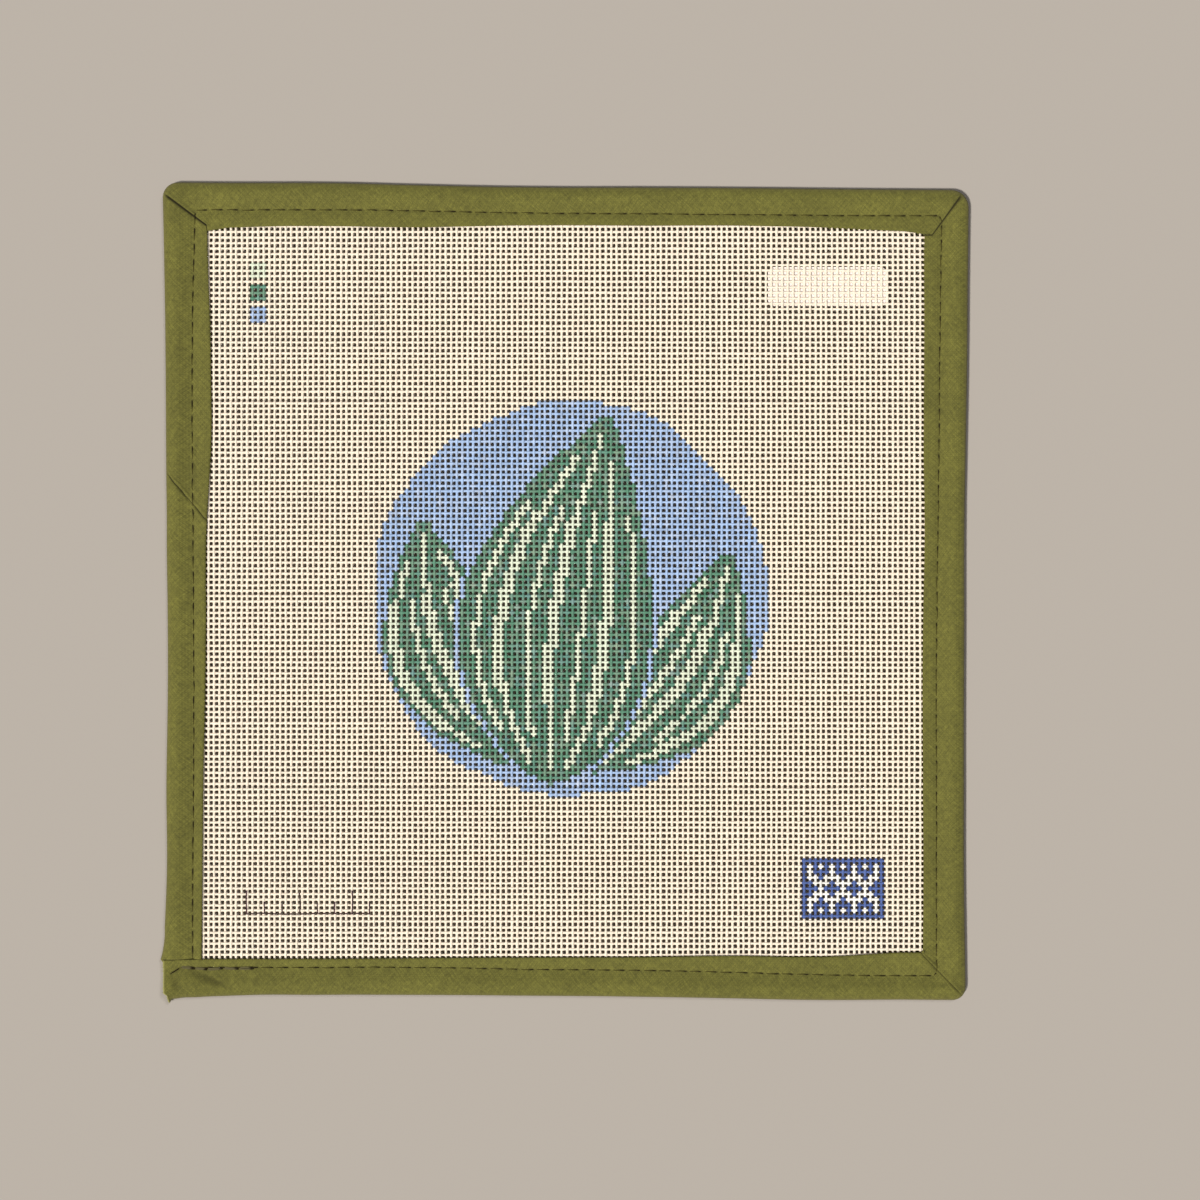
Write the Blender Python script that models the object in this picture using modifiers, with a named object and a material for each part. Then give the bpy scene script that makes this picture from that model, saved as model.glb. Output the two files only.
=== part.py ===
"""Square needlepoint canvas, its four edges bound with folded bias tape.

The panel lies flat. +Z is up, +Y is the top edge, and the origin is the middle of
the underside. Sizes are written in millimetres and multiplied by MM for Blender.

Four pieces, as they are cut and sewn:
  canvas         the stiff open-weave ground, one flat sheet
  binding_start  the short first strip, up the left edge to a slanted join
  binding_main   the long second strip, from that join round to the lower left
  back_label     the blank sticker behind the upper right
"""

import math
from collections import namedtuple

import bpy
import numpy as np
from mathutils import Vector

MM = 0.001
PANEL = "needlepoint_canvas_panel"
PANEL_CENTRE = "panel_centre"

# Heights. The tape is folded round the canvas, and every neighbour is CLEAR apart.
CLEAR = 0.3
CANVAS_THICK = 1.0
TAPE_THICK = 0.55
LABEL_THICK = 0.3
PUFF = 0.15
MITRE_STEP = 0.15
LAP_STEP = 0.12
UNDER_Z = TAPE_THICK / 2
CANVAS_Z = TAPE_THICK + CLEAR + CANVAS_THICK / 2
TOP_Z = 2 * CANVAS_Z - UNDER_Z
ROLL_RADIUS = TOP_Z - CANVAS_Z
FOLD_DEPTH = ROLL_RADIUS + TAPE_THICK / 2
LABEL_Z = CANVAS_Z - CANVAS_THICK / 2 - CLEAR - LABEL_THICK / 2

# The four edges, as uneven as the real ones. "along" runs with the edge, and the
# other columns give how far from the middle the tape's fold, its sewn inner edge
# and the line of stitches are there.
Edge = namedtuple("Edge", "along fold inner stitch")
LEFT = (
    Edge(-94.2, -103.4, -92.75, -95.10),
    Edge(-90.4, -102.6, -92.72, -95.10),
    Edge(-85.0, -102.3, -92.65, -95.10),
    Edge(-49.2, -101.9, -92.30, -94.90),
    Edge(-3.3, -101.6, -91.60, -94.90),
    Edge(12.0, -101.8, -91.60, -95.00),
    Edge(19.0, -101.8, -91.35, -95.05),
    Edge(27.3, -101.9, -90.85, -95.10),
    Edge(57.9, -102.1, -90.45, -95.20),
    Edge(80.9, -102.4, -91.00, -94.90),
    Edge(101.0, -102.8, -91.60, -94.30),
)
TOP = (
    Edge(-99.0, 104.8, 92.4, 97.7),
    Edge(-79.0, 104.7, 93.3, 97.7),
    Edge(-63.7, 104.7, 93.5, 97.7),
    Edge(-40.8, 104.2, 93.2, 97.5),
    Edge(-10.1, 103.6, 93.7, 96.9),
    Edge(20.5, 103.5, 93.6, 96.7),
    Edge(51.1, 103.3, 93.5, 96.4),
    Edge(81.7, 103.0, 92.4, 96.2),
    Edge(98.5, 102.9, 91.6, 96.2),
)
RIGHT = (
    Edge(-100.0, 102.5, 91.3, 95.0),
    Edge(-87.5, 102.3, 91.5, 95.0),
    Edge(-49.2, 102.1, 91.5, 95.0),
    Edge(-3.3, 102.2, 91.6, 95.1),
    Edge(12.0, 102.2, 91.9, 95.3),
    Edge(35.0, 102.5, 91.7, 95.6),
    Edge(57.9, 102.9, 91.8, 95.8),
    Edge(80.9, 103.1, 91.8, 96.1),
    Edge(98.0, 103.3, 91.7, 96.4),
)
BOTTOM = (
    Edge(-101.6, -105.0, -93.95, -96.4),
    Edge(-100.5, -104.15, -93.90, -96.3),
    Edge(-99.4, -103.95, -93.85, -96.1),
    Edge(-94.3, -103.6, -93.75, -95.9),
    Edge(-86.7, -103.25, -93.70, -95.9),
    Edge(-63.7, -103.0, -93.65, -95.9),
    Edge(-40.8, -103.0, -93.50, -95.9),
    Edge(-10.1, -103.2, -93.30, -96.4),
    Edge(20.5, -103.5, -93.20, -96.7),
    Edge(43.4, -103.9, -92.90, -97.2),
    Edge(66.4, -104.3, -93.10, -97.8),
    Edge(89.4, -104.2, -92.00, -98.0),
    Edge(99.0, -104.3, -92.20, -98.0),
)

# A mitred corner: where the canvas shows its corner, how round the fold is, and
# which of the two arms lies on top, 1 for the arm that the strip goes on to.
Corner = namedtuple("Corner", "inner radius upper_arm")
UPPER_LEFT = Corner(Vector((-91.3, 92.2)), 3.8, 1)
UPPER_RIGHT = Corner(Vector((91.9, 91.4)), 4.6, -1)
LOWER_RIGHT = Corner(Vector((91.5, -92.0)), 3.3, -1)
CORNER_LEAD = 5.0
ARC_STEPS = 6
LEAD_STEPS = 2
STEP_WIDTH = 0.35
STEP_FADE = 7.0

# The slanted join of the two strips on the left edge, where it crosses the fold,
# and how far it runs on up the underside and back down the face.
JOIN_ALONG = 30.6
JOIN_SLANT = 12.4
JOIN_REACH = 30.0
JOIN_GAP = 0.5

# How the strips end at the lower left, and how closely the tape is sampled.
START_END = -93.35
MAIN_END = -101.9
MAIN_END_LEAN = 0.55
STATION_STEP = 9.0
LAP_FADE = 9.0
UNDER_STEPS = 3
ROLL_STEPS = 6

# The puffed face, from the roll to the stitches and from them to the inner edge: how
# far along that stretch, and how high as a share of PUFF.
OUTER_FACE = ((0.30, 1.0), (0.72, 0.8), (1.0, 0.0))
INNER_FACE = ((0.5, 0.3), (1.0, 0.0))

# The canvas stops short of the fold, with its corners trimmed off.
CANVAS_INSET = 1.7
CANVAS_TRIM = 2.2
CANVAS_STEPS = 12

LABEL_LENGTH = 30.2
LABEL_WIDTH = 10.0
LABEL_CENTRE = (67.1, 78.2)
LABEL_ROUND = 1.5

SEAL_DISTANCE = 0.01

Finish = namedtuple("Finish", "name colour roughness")
CANVAS_FINISH = Finish("canvas_thread", (0.93, 0.89, 0.76), 0.8)
TAPE_FINISH = Finish("cotton_tape", (0.175, 0.165, 0.042), 0.85)
LABEL_FINISH = Finish("label_paper", (0.90, 0.86, 0.74), 0.7)

Station = namedtuple("Station", "fold inner_top inner_under stitch_share lift")


def clear_scene():
    """Start from an empty file."""
    for obj in list(bpy.data.objects):
        bpy.data.objects.remove(obj, do_unlink=True)


def material(name, colour, roughness):
    """A Principled material of one colour."""
    made = bpy.data.materials.new(name)
    made.use_nodes = True
    shader = made.node_tree.nodes["Principled BSDF"]
    shader.inputs["Base Color"].default_value = (*colour, 1.0)
    shader.inputs["Roughness"].default_value = roughness
    shader.inputs["Metallic"].default_value = 0.0
    made.diffuse_color = (*colour, 1.0)
    return made


def read_edge(edge, column, along):
    """A column of an edge's table at any place, on a smooth curve through its rows."""
    places = np.array([row.along for row in edge])
    values = np.array([getattr(row, column) for row in edge])
    slopes = np.gradient(values, places)
    along = float(np.clip(along, places[0], places[-1]))
    row = int(np.clip(np.searchsorted(places, along) - 1, 0, len(places) - 2))
    span = places[row + 1] - places[row]
    share = (along - places[row]) / span
    start = values[row] + share * span * slopes[row]
    end = values[row + 1] - (1 - share) * span * slopes[row + 1]
    ease = share * share * (3 - 2 * share)
    return float(start + (end - start) * ease)


def on_edge(edge, column, along):
    """The plan point of a column: the left and right edges run along Y, the others along X."""
    across = read_edge(edge, column, along)
    return Vector((across, along)) if edge in (LEFT, RIGHT) else Vector((along, across))


def stitch_share(edge, along):
    """How far across the face the stitches lie, from the fold to the inner edge."""
    fold, inner, stitch = (read_edge(edge, column, along) for column in ("fold", "inner", "stitch"))
    width = abs(fold - inner) - FOLD_DEPTH
    return (abs(fold - stitch) - FOLD_DEPTH) / width


def straight_station(edge, along, slant=0.0, lift=0.0):
    """A station square to its edge, or with its inner ends slid apart by slant."""
    fold = on_edge(edge, "fold", along)
    inner_top = on_edge(edge, "inner", along - slant)
    inner_under = on_edge(edge, "inner", along + slant)
    return Station(fold, inner_top, inner_under, stitch_share(edge, along), lift)


def join_slant(along):
    """The join's slant, which fades out along the strip on both sides of it."""
    near = max(0.0, 1.0 - abs(along - JOIN_ALONG) / JOIN_REACH)
    return JOIN_SLANT * near * near * (3 - 2 * near)


def spread(start, end, step=STATION_STEP):
    """Even places from start to end, about step apart."""
    count = max(2, round(abs(end - start) / step) + 1)
    return np.linspace(start, end, count)


def corner_stations(before, after, turn_in, turn_out, corner):
    """The fan of stations round a mitred corner. turn_in and turn_out are the two
    directions of travel. The upper arm stands MITRE_STEP proud along the mitre."""
    ends = {
        "in": corner.inner.dot(turn_in) - CORNER_LEAD,
        "out": corner.inner.dot(turn_out) + CORNER_LEAD,
    }
    side_in = sum(turn_in)
    side_out = sum(turn_out)
    lead_in = straight_station(before, ends["in"] * side_in)
    lead_out = straight_station(after, ends["out"] * side_out)
    tip = Vector((0.0, 0.0))
    tip += turn_out * on_edge(before, "fold", before[-1 if side_in > 0 else 0].along).dot(turn_out)
    tip += turn_in * on_edge(after, "fold", after[0 if side_out > 0 else -1].along).dot(turn_in)
    centre = tip + (turn_out - turn_in) * corner.radius

    outline = [lead_in.fold]
    arc_start = tip - turn_in * corner.radius
    arc_end = tip + turn_out * corner.radius
    for step in range(1, LEAD_STEPS + 1):
        outline.append(lead_in.fold.lerp(arc_start, step / (LEAD_STEPS + 1)))
    for step in range(ARC_STEPS + 1):
        angle = math.radians(90 * step / ARC_STEPS)
        outline.append(centre + (turn_in * math.sin(angle) - turn_out * math.cos(angle)) * corner.radius)
    for step in range(1, LEAD_STEPS + 1):
        outline.append(arc_end.lerp(lead_out.fold, step / (LEAD_STEPS + 1)))
    outline.append(lead_out.fold)

    middle = len(outline) // 2
    stations = []
    for index, fold in enumerate(outline):
        share = index / middle
        if share <= 1:
            inner = lead_in.inner_top.lerp(corner.inner, share)
            under = lead_in.inner_under.lerp(corner.inner, share)
            stitch = lead_in.stitch_share
        else:
            inner = corner.inner.lerp(lead_out.inner_top, share - 1)
            under = corner.inner.lerp(lead_out.inner_under, share - 1)
            stitch = lead_out.stitch_share
        away = (fold - outline[middle]).length
        raised = (index - middle) * corner.upper_arm > 0
        lift = MITRE_STEP * max(0.0, 1 - away / STEP_FADE) if raised else 0.0
        stations.append(Station(fold, inner, under, stitch, lift))
    on_top = stations[middle]
    slide = (turn_out if corner.upper_arm > 0 else -turn_in) * STEP_WIDTH
    raised_twin = Station(
        on_top.fold + slide,
        on_top.inner_top + slide,
        on_top.inner_under + slide,
        on_top.stitch_share,
        MITRE_STEP,
    )
    place = middle + 1 if corner.upper_arm > 0 else middle
    stations.insert(place, raised_twin)
    return stations


def start_strip():
    """Stations of the first strip, from the slanted join down to its end."""
    top = JOIN_ALONG - JOIN_GAP / 2
    return [straight_station(LEFT, along, join_slant(along)) for along in spread(top, START_END)]


def main_strip():
    """Stations of the second strip, from the slanted join clockwise to its cut end."""
    up, right, down, left = Vector((0, 1)), Vector((1, 0)), Vector((0, -1)), Vector((-1, 0))
    stations = []
    bottom_of_run = JOIN_ALONG + JOIN_GAP / 2
    top_of_run = UPPER_LEFT.inner.y - CORNER_LEAD
    for along in spread(bottom_of_run, top_of_run)[:-1]:
        stations.append(straight_station(LEFT, along, join_slant(along)))
    stations += corner_stations(LEFT, TOP, up, right, UPPER_LEFT)
    first, last = UPPER_LEFT.inner.x + CORNER_LEAD, UPPER_RIGHT.inner.x - CORNER_LEAD
    stations += [straight_station(TOP, along) for along in spread(first, last)[1:-1]]
    stations += corner_stations(TOP, RIGHT, right, down, UPPER_RIGHT)
    first, last = UPPER_RIGHT.inner.y - CORNER_LEAD, LOWER_RIGHT.inner.y + CORNER_LEAD
    stations += [straight_station(RIGHT, along) for along in spread(first, last)[1:-1]]
    stations += corner_stations(RIGHT, BOTTOM, down, left, LOWER_RIGHT)
    first = LOWER_RIGHT.inner.x - CORNER_LEAD
    for along in spread(first, MAIN_END)[1:]:
        from_end = (along - MAIN_END) / LAP_FADE
        stations.append(straight_station(BOTTOM, along, lift=LAP_STEP * max(0.0, 1 - from_end)))
    cut = stations[-1]
    lean = Vector((MAIN_END_LEAN, 0))
    stations[-1] = cut._replace(inner_top=cut.inner_top - lean, inner_under=cut.inner_under - lean)
    return stations


def section(station):
    """The folded tape's middle surface at one station, from its hidden inner edge
    round the fold to the inner edge that shows."""
    to_under = (station.inner_under - station.fold).normalized()
    to_top = (station.inner_top - station.fold).normalized()
    root_under = station.fold + to_under * FOLD_DEPTH
    root_top = station.fold + to_top * FOLD_DEPTH
    points = []
    for step in range(UNDER_STEPS):
        plan = station.inner_under.lerp(root_under, step / UNDER_STEPS)
        points.append((*plan, UNDER_Z))
    for step in range(ROLL_STEPS + 1):
        angle = math.radians(180 * step / ROLL_STEPS - 90)
        inward = FOLD_DEPTH - ROLL_RADIUS * math.cos(angle)
        plan = station.fold + (to_top if angle > 0 else to_under) * inward
        rise = ROLL_RADIUS * math.sin(angle) + station.lift * max(0.0, math.sin(angle))
        points.append((*plan, CANVAS_Z + rise))
    stitch = station.stitch_share
    face = [(share * stitch, puff) for share, puff in OUTER_FACE]
    face += [(stitch + share * (1 - stitch), puff) for share, puff in INNER_FACE]
    for share, puff in face:
        plan = root_top.lerp(station.inner_top, share)
        points.append((*plan, TOP_Z + puff * PUFF + station.lift))
    return points


def folded_strip(name, stations, finish):
    """One strip of tape: an open folded surface with Solidify for its thickness."""
    rows = [section(station) for station in stations]
    width = len(rows[0])
    points = [Vector(point) * MM for row in rows for point in row]
    faces = []
    for row in range(len(rows) - 1):
        for column in range(width - 1):
            corner = row * width + column
            faces.append((corner, corner + width, corner + width + 1, corner + 1))
    mesh = bpy.data.meshes.new(name)
    mesh.from_pydata(points, [], faces)
    strip = add_piece(name, mesh, finish)
    thicken = strip.modifiers.new("tape_thickness", "SOLIDIFY")
    thicken.thickness = TAPE_THICK * MM
    thicken.offset = 0.0
    mesh.shade_smooth()
    return strip


def flat_sheet(name, outline, thickness, centre, finish):
    """A flat sheet cut to an outline, as a filled curve made into a closed mesh."""
    curve = bpy.data.curves.new(name + "_outline", "CURVE")
    curve.dimensions = "2D"
    curve.fill_mode = "BOTH"
    curve.extrude = thickness / 2 * MM
    spline = curve.splines.new("POLY")
    spline.points.add(len(outline) - 1)
    for point, (x, y) in zip(spline.points, outline):
        point.co = (x * MM, y * MM, 0.0, 1.0)
    spline.use_cyclic_u = True
    drawn = bpy.data.objects.new(name + "_outline", curve)
    bpy.context.scene.collection.objects.link(drawn)
    graph = bpy.context.evaluated_depsgraph_get()
    mesh = bpy.data.meshes.new_from_object(drawn.evaluated_get(graph))
    mesh.name = name
    bpy.data.objects.remove(drawn, do_unlink=True)
    sheet = add_piece(name, mesh, finish)
    sheet.location = Vector(centre) * MM
    seal = sheet.modifiers.new("seal_caps", "WELD")
    seal.merge_threshold = SEAL_DISTANCE * MM
    return sheet


def canvas_outline():
    """The canvas a little inside the tape's fold, with its four corners trimmed."""
    def run(edge, start, end, inward):
        return [on_edge(edge, "fold", along) + inward for along in np.linspace(start, end, CANVAS_STEPS)]

    left = read_edge(LEFT, "fold", 0) + CANVAS_INSET + CANVAS_TRIM
    right = read_edge(RIGHT, "fold", 0) - CANVAS_INSET - CANVAS_TRIM
    top = read_edge(TOP, "fold", 0) - CANVAS_INSET - CANVAS_TRIM
    bottom = read_edge(BOTTOM, "fold", 0) + CANVAS_INSET + CANVAS_TRIM
    outline = run(BOTTOM, left, right, Vector((0, CANVAS_INSET)))
    outline += run(RIGHT, bottom, top, Vector((-CANVAS_INSET, 0)))
    outline += run(TOP, right, left, Vector((0, -CANVAS_INSET)))
    outline += run(LEFT, top, bottom, Vector((CANVAS_INSET, 0)))
    return outline


def label_outline():
    """A rectangle with rounded corners, about its own middle."""
    outline = []
    for quarter, (side_x, side_y) in enumerate(((1, 1), (-1, 1), (-1, -1), (1, -1))):
        for step in range(ARC_STEPS + 1):
            angle = math.radians(90 * (quarter + step / ARC_STEPS))
            x = side_x * (LABEL_LENGTH / 2 - LABEL_ROUND) + LABEL_ROUND * math.cos(angle)
            y = side_y * (LABEL_WIDTH / 2 - LABEL_ROUND) + LABEL_ROUND * math.sin(angle)
            outline.append((x, y))
    return outline


def add_piece(name, mesh, finish):
    """Put a mesh in the panel's collection, under its empty."""
    piece = bpy.data.objects.new(name, mesh)
    mesh.materials.clear()
    mesh.materials.append(finish)
    bpy.data.collections[PANEL].objects.link(piece)
    piece.parent = bpy.data.objects[PANEL_CENTRE]
    return piece


def build():
    """The whole panel."""
    clear_scene()
    collection = bpy.data.collections.new(PANEL)
    bpy.context.scene.collection.children.link(collection)
    collection.objects.link(bpy.data.objects.new(PANEL_CENTRE, None))

    thread = material(*CANVAS_FINISH)
    tape = material(*TAPE_FINISH)
    paper = material(*LABEL_FINISH)
    flat_sheet("canvas", canvas_outline(), CANVAS_THICK, (0, 0, CANVAS_Z), thread)
    folded_strip("binding_start", start_strip(), tape)
    folded_strip("binding_main", main_strip(), tape)
    flat_sheet("back_label", label_outline(), LABEL_THICK, (*LABEL_CENTRE, LABEL_Z), paper)


build()
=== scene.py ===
"""Looks of the needlepoint canvas panel: woven and painted threads, folded tape, sewing.

Sizes are written in millimetres and multiplied by MM for Blender. +Z is up and +Y is the top edge. Heights
come from the canvas part of model.glb. The tape's edges repeat the part's tables.
"""

import math
from collections import namedtuple
from functools import cached_property
from itertools import pairwise

import bpy
import numpy as np
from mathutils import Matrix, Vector, geometry, noise
from mathutils.bvhtree import BVHTree


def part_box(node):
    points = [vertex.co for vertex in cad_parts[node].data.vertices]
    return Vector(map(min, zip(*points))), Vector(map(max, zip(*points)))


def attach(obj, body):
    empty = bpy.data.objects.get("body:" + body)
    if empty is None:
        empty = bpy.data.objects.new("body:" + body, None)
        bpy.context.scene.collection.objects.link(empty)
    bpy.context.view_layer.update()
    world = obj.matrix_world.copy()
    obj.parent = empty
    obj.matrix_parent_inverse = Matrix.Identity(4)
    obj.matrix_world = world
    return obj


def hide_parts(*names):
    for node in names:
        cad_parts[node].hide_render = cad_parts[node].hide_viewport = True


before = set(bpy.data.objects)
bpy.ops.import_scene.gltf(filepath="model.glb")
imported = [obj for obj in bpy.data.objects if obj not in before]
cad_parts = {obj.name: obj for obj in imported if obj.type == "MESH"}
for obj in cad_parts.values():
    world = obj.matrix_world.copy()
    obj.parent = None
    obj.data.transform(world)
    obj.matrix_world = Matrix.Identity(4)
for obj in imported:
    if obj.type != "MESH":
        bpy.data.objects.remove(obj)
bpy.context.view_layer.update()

MM = 0.001
BODY = "root"
SEED = 18

# ---- the woven canvas
MESHES_PER_INCH = 18
PITCH = 25.4 / MESHES_PER_INCH
ROUND_CENTRE = (1.3, -1.7)
THREAD_WIDTH = 0.655
THREAD_TOP_WIDTH = 0.53
THREAD_HEIGHT = 0.34
WAVE = 0.11
PINCH = 0.15
CANVAS_MARGIN = 1.8
CANVAS_STRIPS = 4

# How uneven the weave is. A reach is in crossings, and SAG_WAVES has the length and the
# phase of the sheet's slow waves along X and along Y.
SPACING_JITTER = 0.035
CROSSING_JITTER = 0.012
WANDER = 0.055
WANDER_REACH = 7
WIDTH_JITTER = 0.07
STEADY_SHARE = 0.6
SWELL_SHARE = 0.8
SWELL_REACH = 9
RING_JITTER = 0.08
WAVE_JITTER = 0.008
SAG = 0.05
SAG_WAVES = ((31.0, 0.6), (43.0, -0.4))

# The twist of the yarn: the pitch of its ridges, the way they lean and their wander.
TWIST = 0.27
TWIST_LEAN = (1.0, 0.8, 0.6)
TWIST_WANDER = 9.0
TWIST_WANDER_SIZE = 1.1
TWIST_DEPTH = 0.035
CANVAS_FUZZ = 0.10
CANVAS_FUZZ_DEPTH = 0.04

# Paint, one code for each crossing of two threads, and the codes' colours in that order,
# in linear light.
BARE, BLUE, GREEN, PALE, DARK_BLUE, WHITE = range(6)
PAINT = np.array((
    (0.885, 0.775, 0.620),
    (0.350, 0.480, 0.710),
    (0.092, 0.238, 0.151),
    (0.690, 0.750, 0.580),
    (0.072, 0.120, 0.325),
    (0.900, 0.870, 0.800),
))
UNDERSIDE_PAINT = 0.5
GREEN_TINGE = 0.08
THIN_PAINT = (0.03, 0.06)
THINNEST = 0.5
# How much the tone varies from crossing to crossing, bare and painted.
TONE_JITTER = (0.021, 0.056)
# Noise that makes a surface patchy: its size, and its range from dark to light.
CANVAS_PATCHES = ((0.9, (0.86, 1.08)), (0.12, (0.93, 1.05)))

# The round, 72 stitches across, holds three veined leaves. Places are in stitches
# from its middle. "fullest" is how far up the leaf it is widest.
ROUND = 72
ROUND_TRIM = 0.15
ROUND_WAVES = ((0.35, 5, 1), (0.25, 11, 2))
Leaf = namedtuple("Leaf", "base tip bend half_width veins fullest")
LEAVES = (
    Leaf((-10, -30), (-27, 14), 0.10, 10.0, 2, 0.48),
    Leaf((4, -31), (29, 8), -0.12, 10.0, 2, 0.48),
    Leaf((-4, -33), (7, 33), 0.05, 17.0, 3, 0.40),
)
LEAF_SAMPLES = (400, 90)
LEAF_ROUNDING = 0.9
VEIN_ROOM = {0: 1.6, 1: 3.0}
VEIN_GAP = 0.55
VEIN_REACH = (0.04, 0.94)
VEIN_SAMPLES = 600
BROAD_VEIN = (0.22, 0.72)
KEY_COLUMN = -57
KEY_ROWS = (59, 55, 51)
BLOCK_FIRST = (42, -58)
BLOCK_SIZE = (15, 11)
DIAMOND = 2
DIAMONDS_REACH = 6
DOT_ROW = 4

# A ruled pen line with short and tall ticks, in millimetres.
PEN_COLOUR = (0.066, 0.030, 0.036, 1.0)
PEN_START = (-81.3, -82.2)
PEN_LENGTH = 31.5
PEN_HALF_WIDTH = 0.19
PEN_TICKS = ((4.5, 3.2), (13.5, 6.0))
PEN_SHAKE = 0.8
PEN_SHAKE_SIZE = 5.0

# ---- the folded tape
# "along" runs with the edge. The other columns give how far from the middle the
# tape's fold, its sewn inner edge and the line of stitches are there.
Edge = namedtuple("Edge", "along fold inner stitch")
LEFT = (
    Edge(-94.2, -103.4, -92.75, -95.10),
    Edge(-90.4, -102.6, -92.72, -95.10),
    Edge(-85.0, -102.3, -92.65, -95.10),
    Edge(-49.2, -101.9, -92.30, -94.90),
    Edge(-3.3, -101.6, -91.60, -94.90),
    Edge(12.0, -101.8, -91.60, -95.00),
    Edge(19.0, -101.8, -91.35, -95.05),
    Edge(27.3, -101.9, -90.85, -95.10),
    Edge(57.9, -102.1, -90.45, -95.20),
    Edge(80.9, -102.4, -91.00, -94.90),
    Edge(101.0, -102.8, -91.60, -94.30),
)
TOP = (
    Edge(-99.0, 104.8, 92.4, 97.7),
    Edge(-79.0, 104.7, 93.3, 97.7),
    Edge(-63.7, 104.7, 93.5, 97.7),
    Edge(-40.8, 104.2, 93.2, 97.5),
    Edge(-10.1, 103.6, 93.7, 96.9),
    Edge(20.5, 103.5, 93.6, 96.7),
    Edge(51.1, 103.3, 93.5, 96.4),
    Edge(81.7, 103.0, 92.4, 96.2),
    Edge(98.5, 102.9, 91.6, 96.2),
)
RIGHT = (
    Edge(-100.0, 102.5, 91.3, 95.0),
    Edge(-87.5, 102.3, 91.5, 95.0),
    Edge(-49.2, 102.1, 91.5, 95.0),
    Edge(-3.3, 102.2, 91.6, 95.1),
    Edge(12.0, 102.2, 91.9, 95.3),
    Edge(35.0, 102.5, 91.7, 95.6),
    Edge(57.9, 102.9, 91.8, 95.8),
    Edge(80.9, 103.1, 91.8, 96.1),
    Edge(98.0, 103.3, 91.7, 96.4),
)
BOTTOM = (
    Edge(-101.6, -105.0, -93.95, -96.4),
    Edge(-100.5, -104.15, -93.90, -96.3),
    Edge(-99.4, -103.95, -93.85, -96.1),
    Edge(-94.3, -103.6, -93.75, -95.9),
    Edge(-86.7, -103.25, -93.70, -95.9),
    Edge(-63.7, -103.0, -93.65, -95.9),
    Edge(-40.8, -103.0, -93.50, -95.9),
    Edge(-10.1, -103.2, -93.30, -96.4),
    Edge(20.5, -103.5, -93.20, -96.7),
    Edge(43.4, -103.9, -92.90, -97.2),
    Edge(66.4, -104.3, -93.10, -97.8),
    Edge(89.4, -104.2, -92.00, -98.0),
    Edge(99.0, -104.3, -92.20, -98.0),
)

EDGES = {"left": LEFT, "top": TOP, "right": RIGHT, "bottom": BOTTOM}

# A mitred corner. "inner" is where the canvas shows its corner, "radius" how round the
# fold is, "turn" how far round it the mitre starts, in degrees, "root" where the mitre
# ends, and "upper_arm" which arm lies on top, 1 for the arm that the strip goes on to.
# "step" scales the height of the step between the arms, and "shade" its line of painted shadow.
Corner = namedtuple("Corner", "inner radius turn root upper_arm step shade")
UPPER_LEFT = Corner(Vector((-91.3, 92.2)), 3.8, 17, Vector((-91.5, 93.9)), 1, 1.3, 1.7)
UPPER_RIGHT = Corner(Vector((91.9, 91.4)), 4.6, 38, Vector((93.9, 91.3)), -1, 1.2, 1.0)
LOWER_RIGHT = Corner(Vector((91.5, -92.0)), 3.3, 40, Vector((91.3, -92.5)), -1, 1.6, 0.40)
CORNER_LEAD = 5.0
ARC_STEPS = 12
INNER_SPREAD = 0.7
# Stations of the fan: the first ones' distances from the mitre, and the others' spacing.
MITRE_OFFSETS = (0.08, 0.2, 0.4, 0.7, 1.2)
FAN_GAP = 0.4
FAN_SPACING = 0.9
# On the upper arm the face rises by a step and a lip, and on the lower one it tucks under and sinks. The
# lip and the lines of painted shadow along the mitre are humps: height, place and width.
MITRE_STEP = 0.17
MITRE_RISE = 0.16
MITRE_FADE = 5.0
MITRE_LIP = (0.10, 0.45, 0.35)
MITRE_CREST_SHADE = (0.6, 0.0, 0.12)
MITRE_SHADOW = (1.0, -0.14, 0.44)
MITRE_TUCK = 0.12
MITRE_TUCK_REACH = 0.35
MITRE_SINK = 0.03
MITRE_SINK_REACH = 2.5

JOIN_ALONG = 30.6
JOIN_SLANT = 12.4
JOIN_REACH = 30.0
JOIN_GAP = 0.02
JOIN_STATIONS = (0.1, 0.25, 0.45, 0.7, 1.0, 1.4)
JOIN_CLEAR = 1.7
JOIN_ROLL = 0.9
JOIN_ROLL_DEPTH = 0.36
# Painted shade along the join: its strength and its reach.
JOIN_SHADE = (0.8, 0.25)
MAIN_RIDGE = (0.26, 0.85, 0.5)
START_RIDGE = (0.03, 0.85, 0.5)
JOIN_LINE = ((-101.9, 30.6), (-91.4, 18.2))
JOIN_WAVER = ((0.10, 5.3, 0.8), (0.07, 2.3, 2.1))
WAVER_REACH = 1.6

# The short strip's lower end sinks, and slides on into the fold of the long one. A pace
# is how many times as fast as the rest of the way the slide or the squeeze is done.
START_END = -93.95
START_TUCK = 6.0
START_TUCK_STEPS = 8
START_SLIDE = 2.4
START_SLIDE_PACE = 1.8
START_SQUEEZE = 0.5
START_SQUEEZE_PACE = 5
START_ROOM = 0.2
START_SINK = ((0.5, 0.0), (0.25, 0.06), (0.1, 0.16), (0.0, 0.30))
LAP_FADE = 9.0
LAP_STEP = 0.22

# The cut end of the long strip: how far to the left it reaches at each height of the
# plan. The strip is straight up to CUT_FROM.
CUT_FROM = -100.1
CUT_TO = -101.6
CUT_EDGE = (
    (-105.2, -100.95),
    (-104.9, -101.05),
    (-103.8, -101.30),
    (-102.9, -101.55),
    (-102.6, -102.40),
    (-95.0, -102.62),
    (-93.0, -102.60),
)
CUT_STEPS = (0.25, 0.5, 0.75, 0.88, 0.94, 1.0)
CUT_WORN = ((0.85, 0.93, 1.0), (0.0, 0.5, 0.95))
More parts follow.
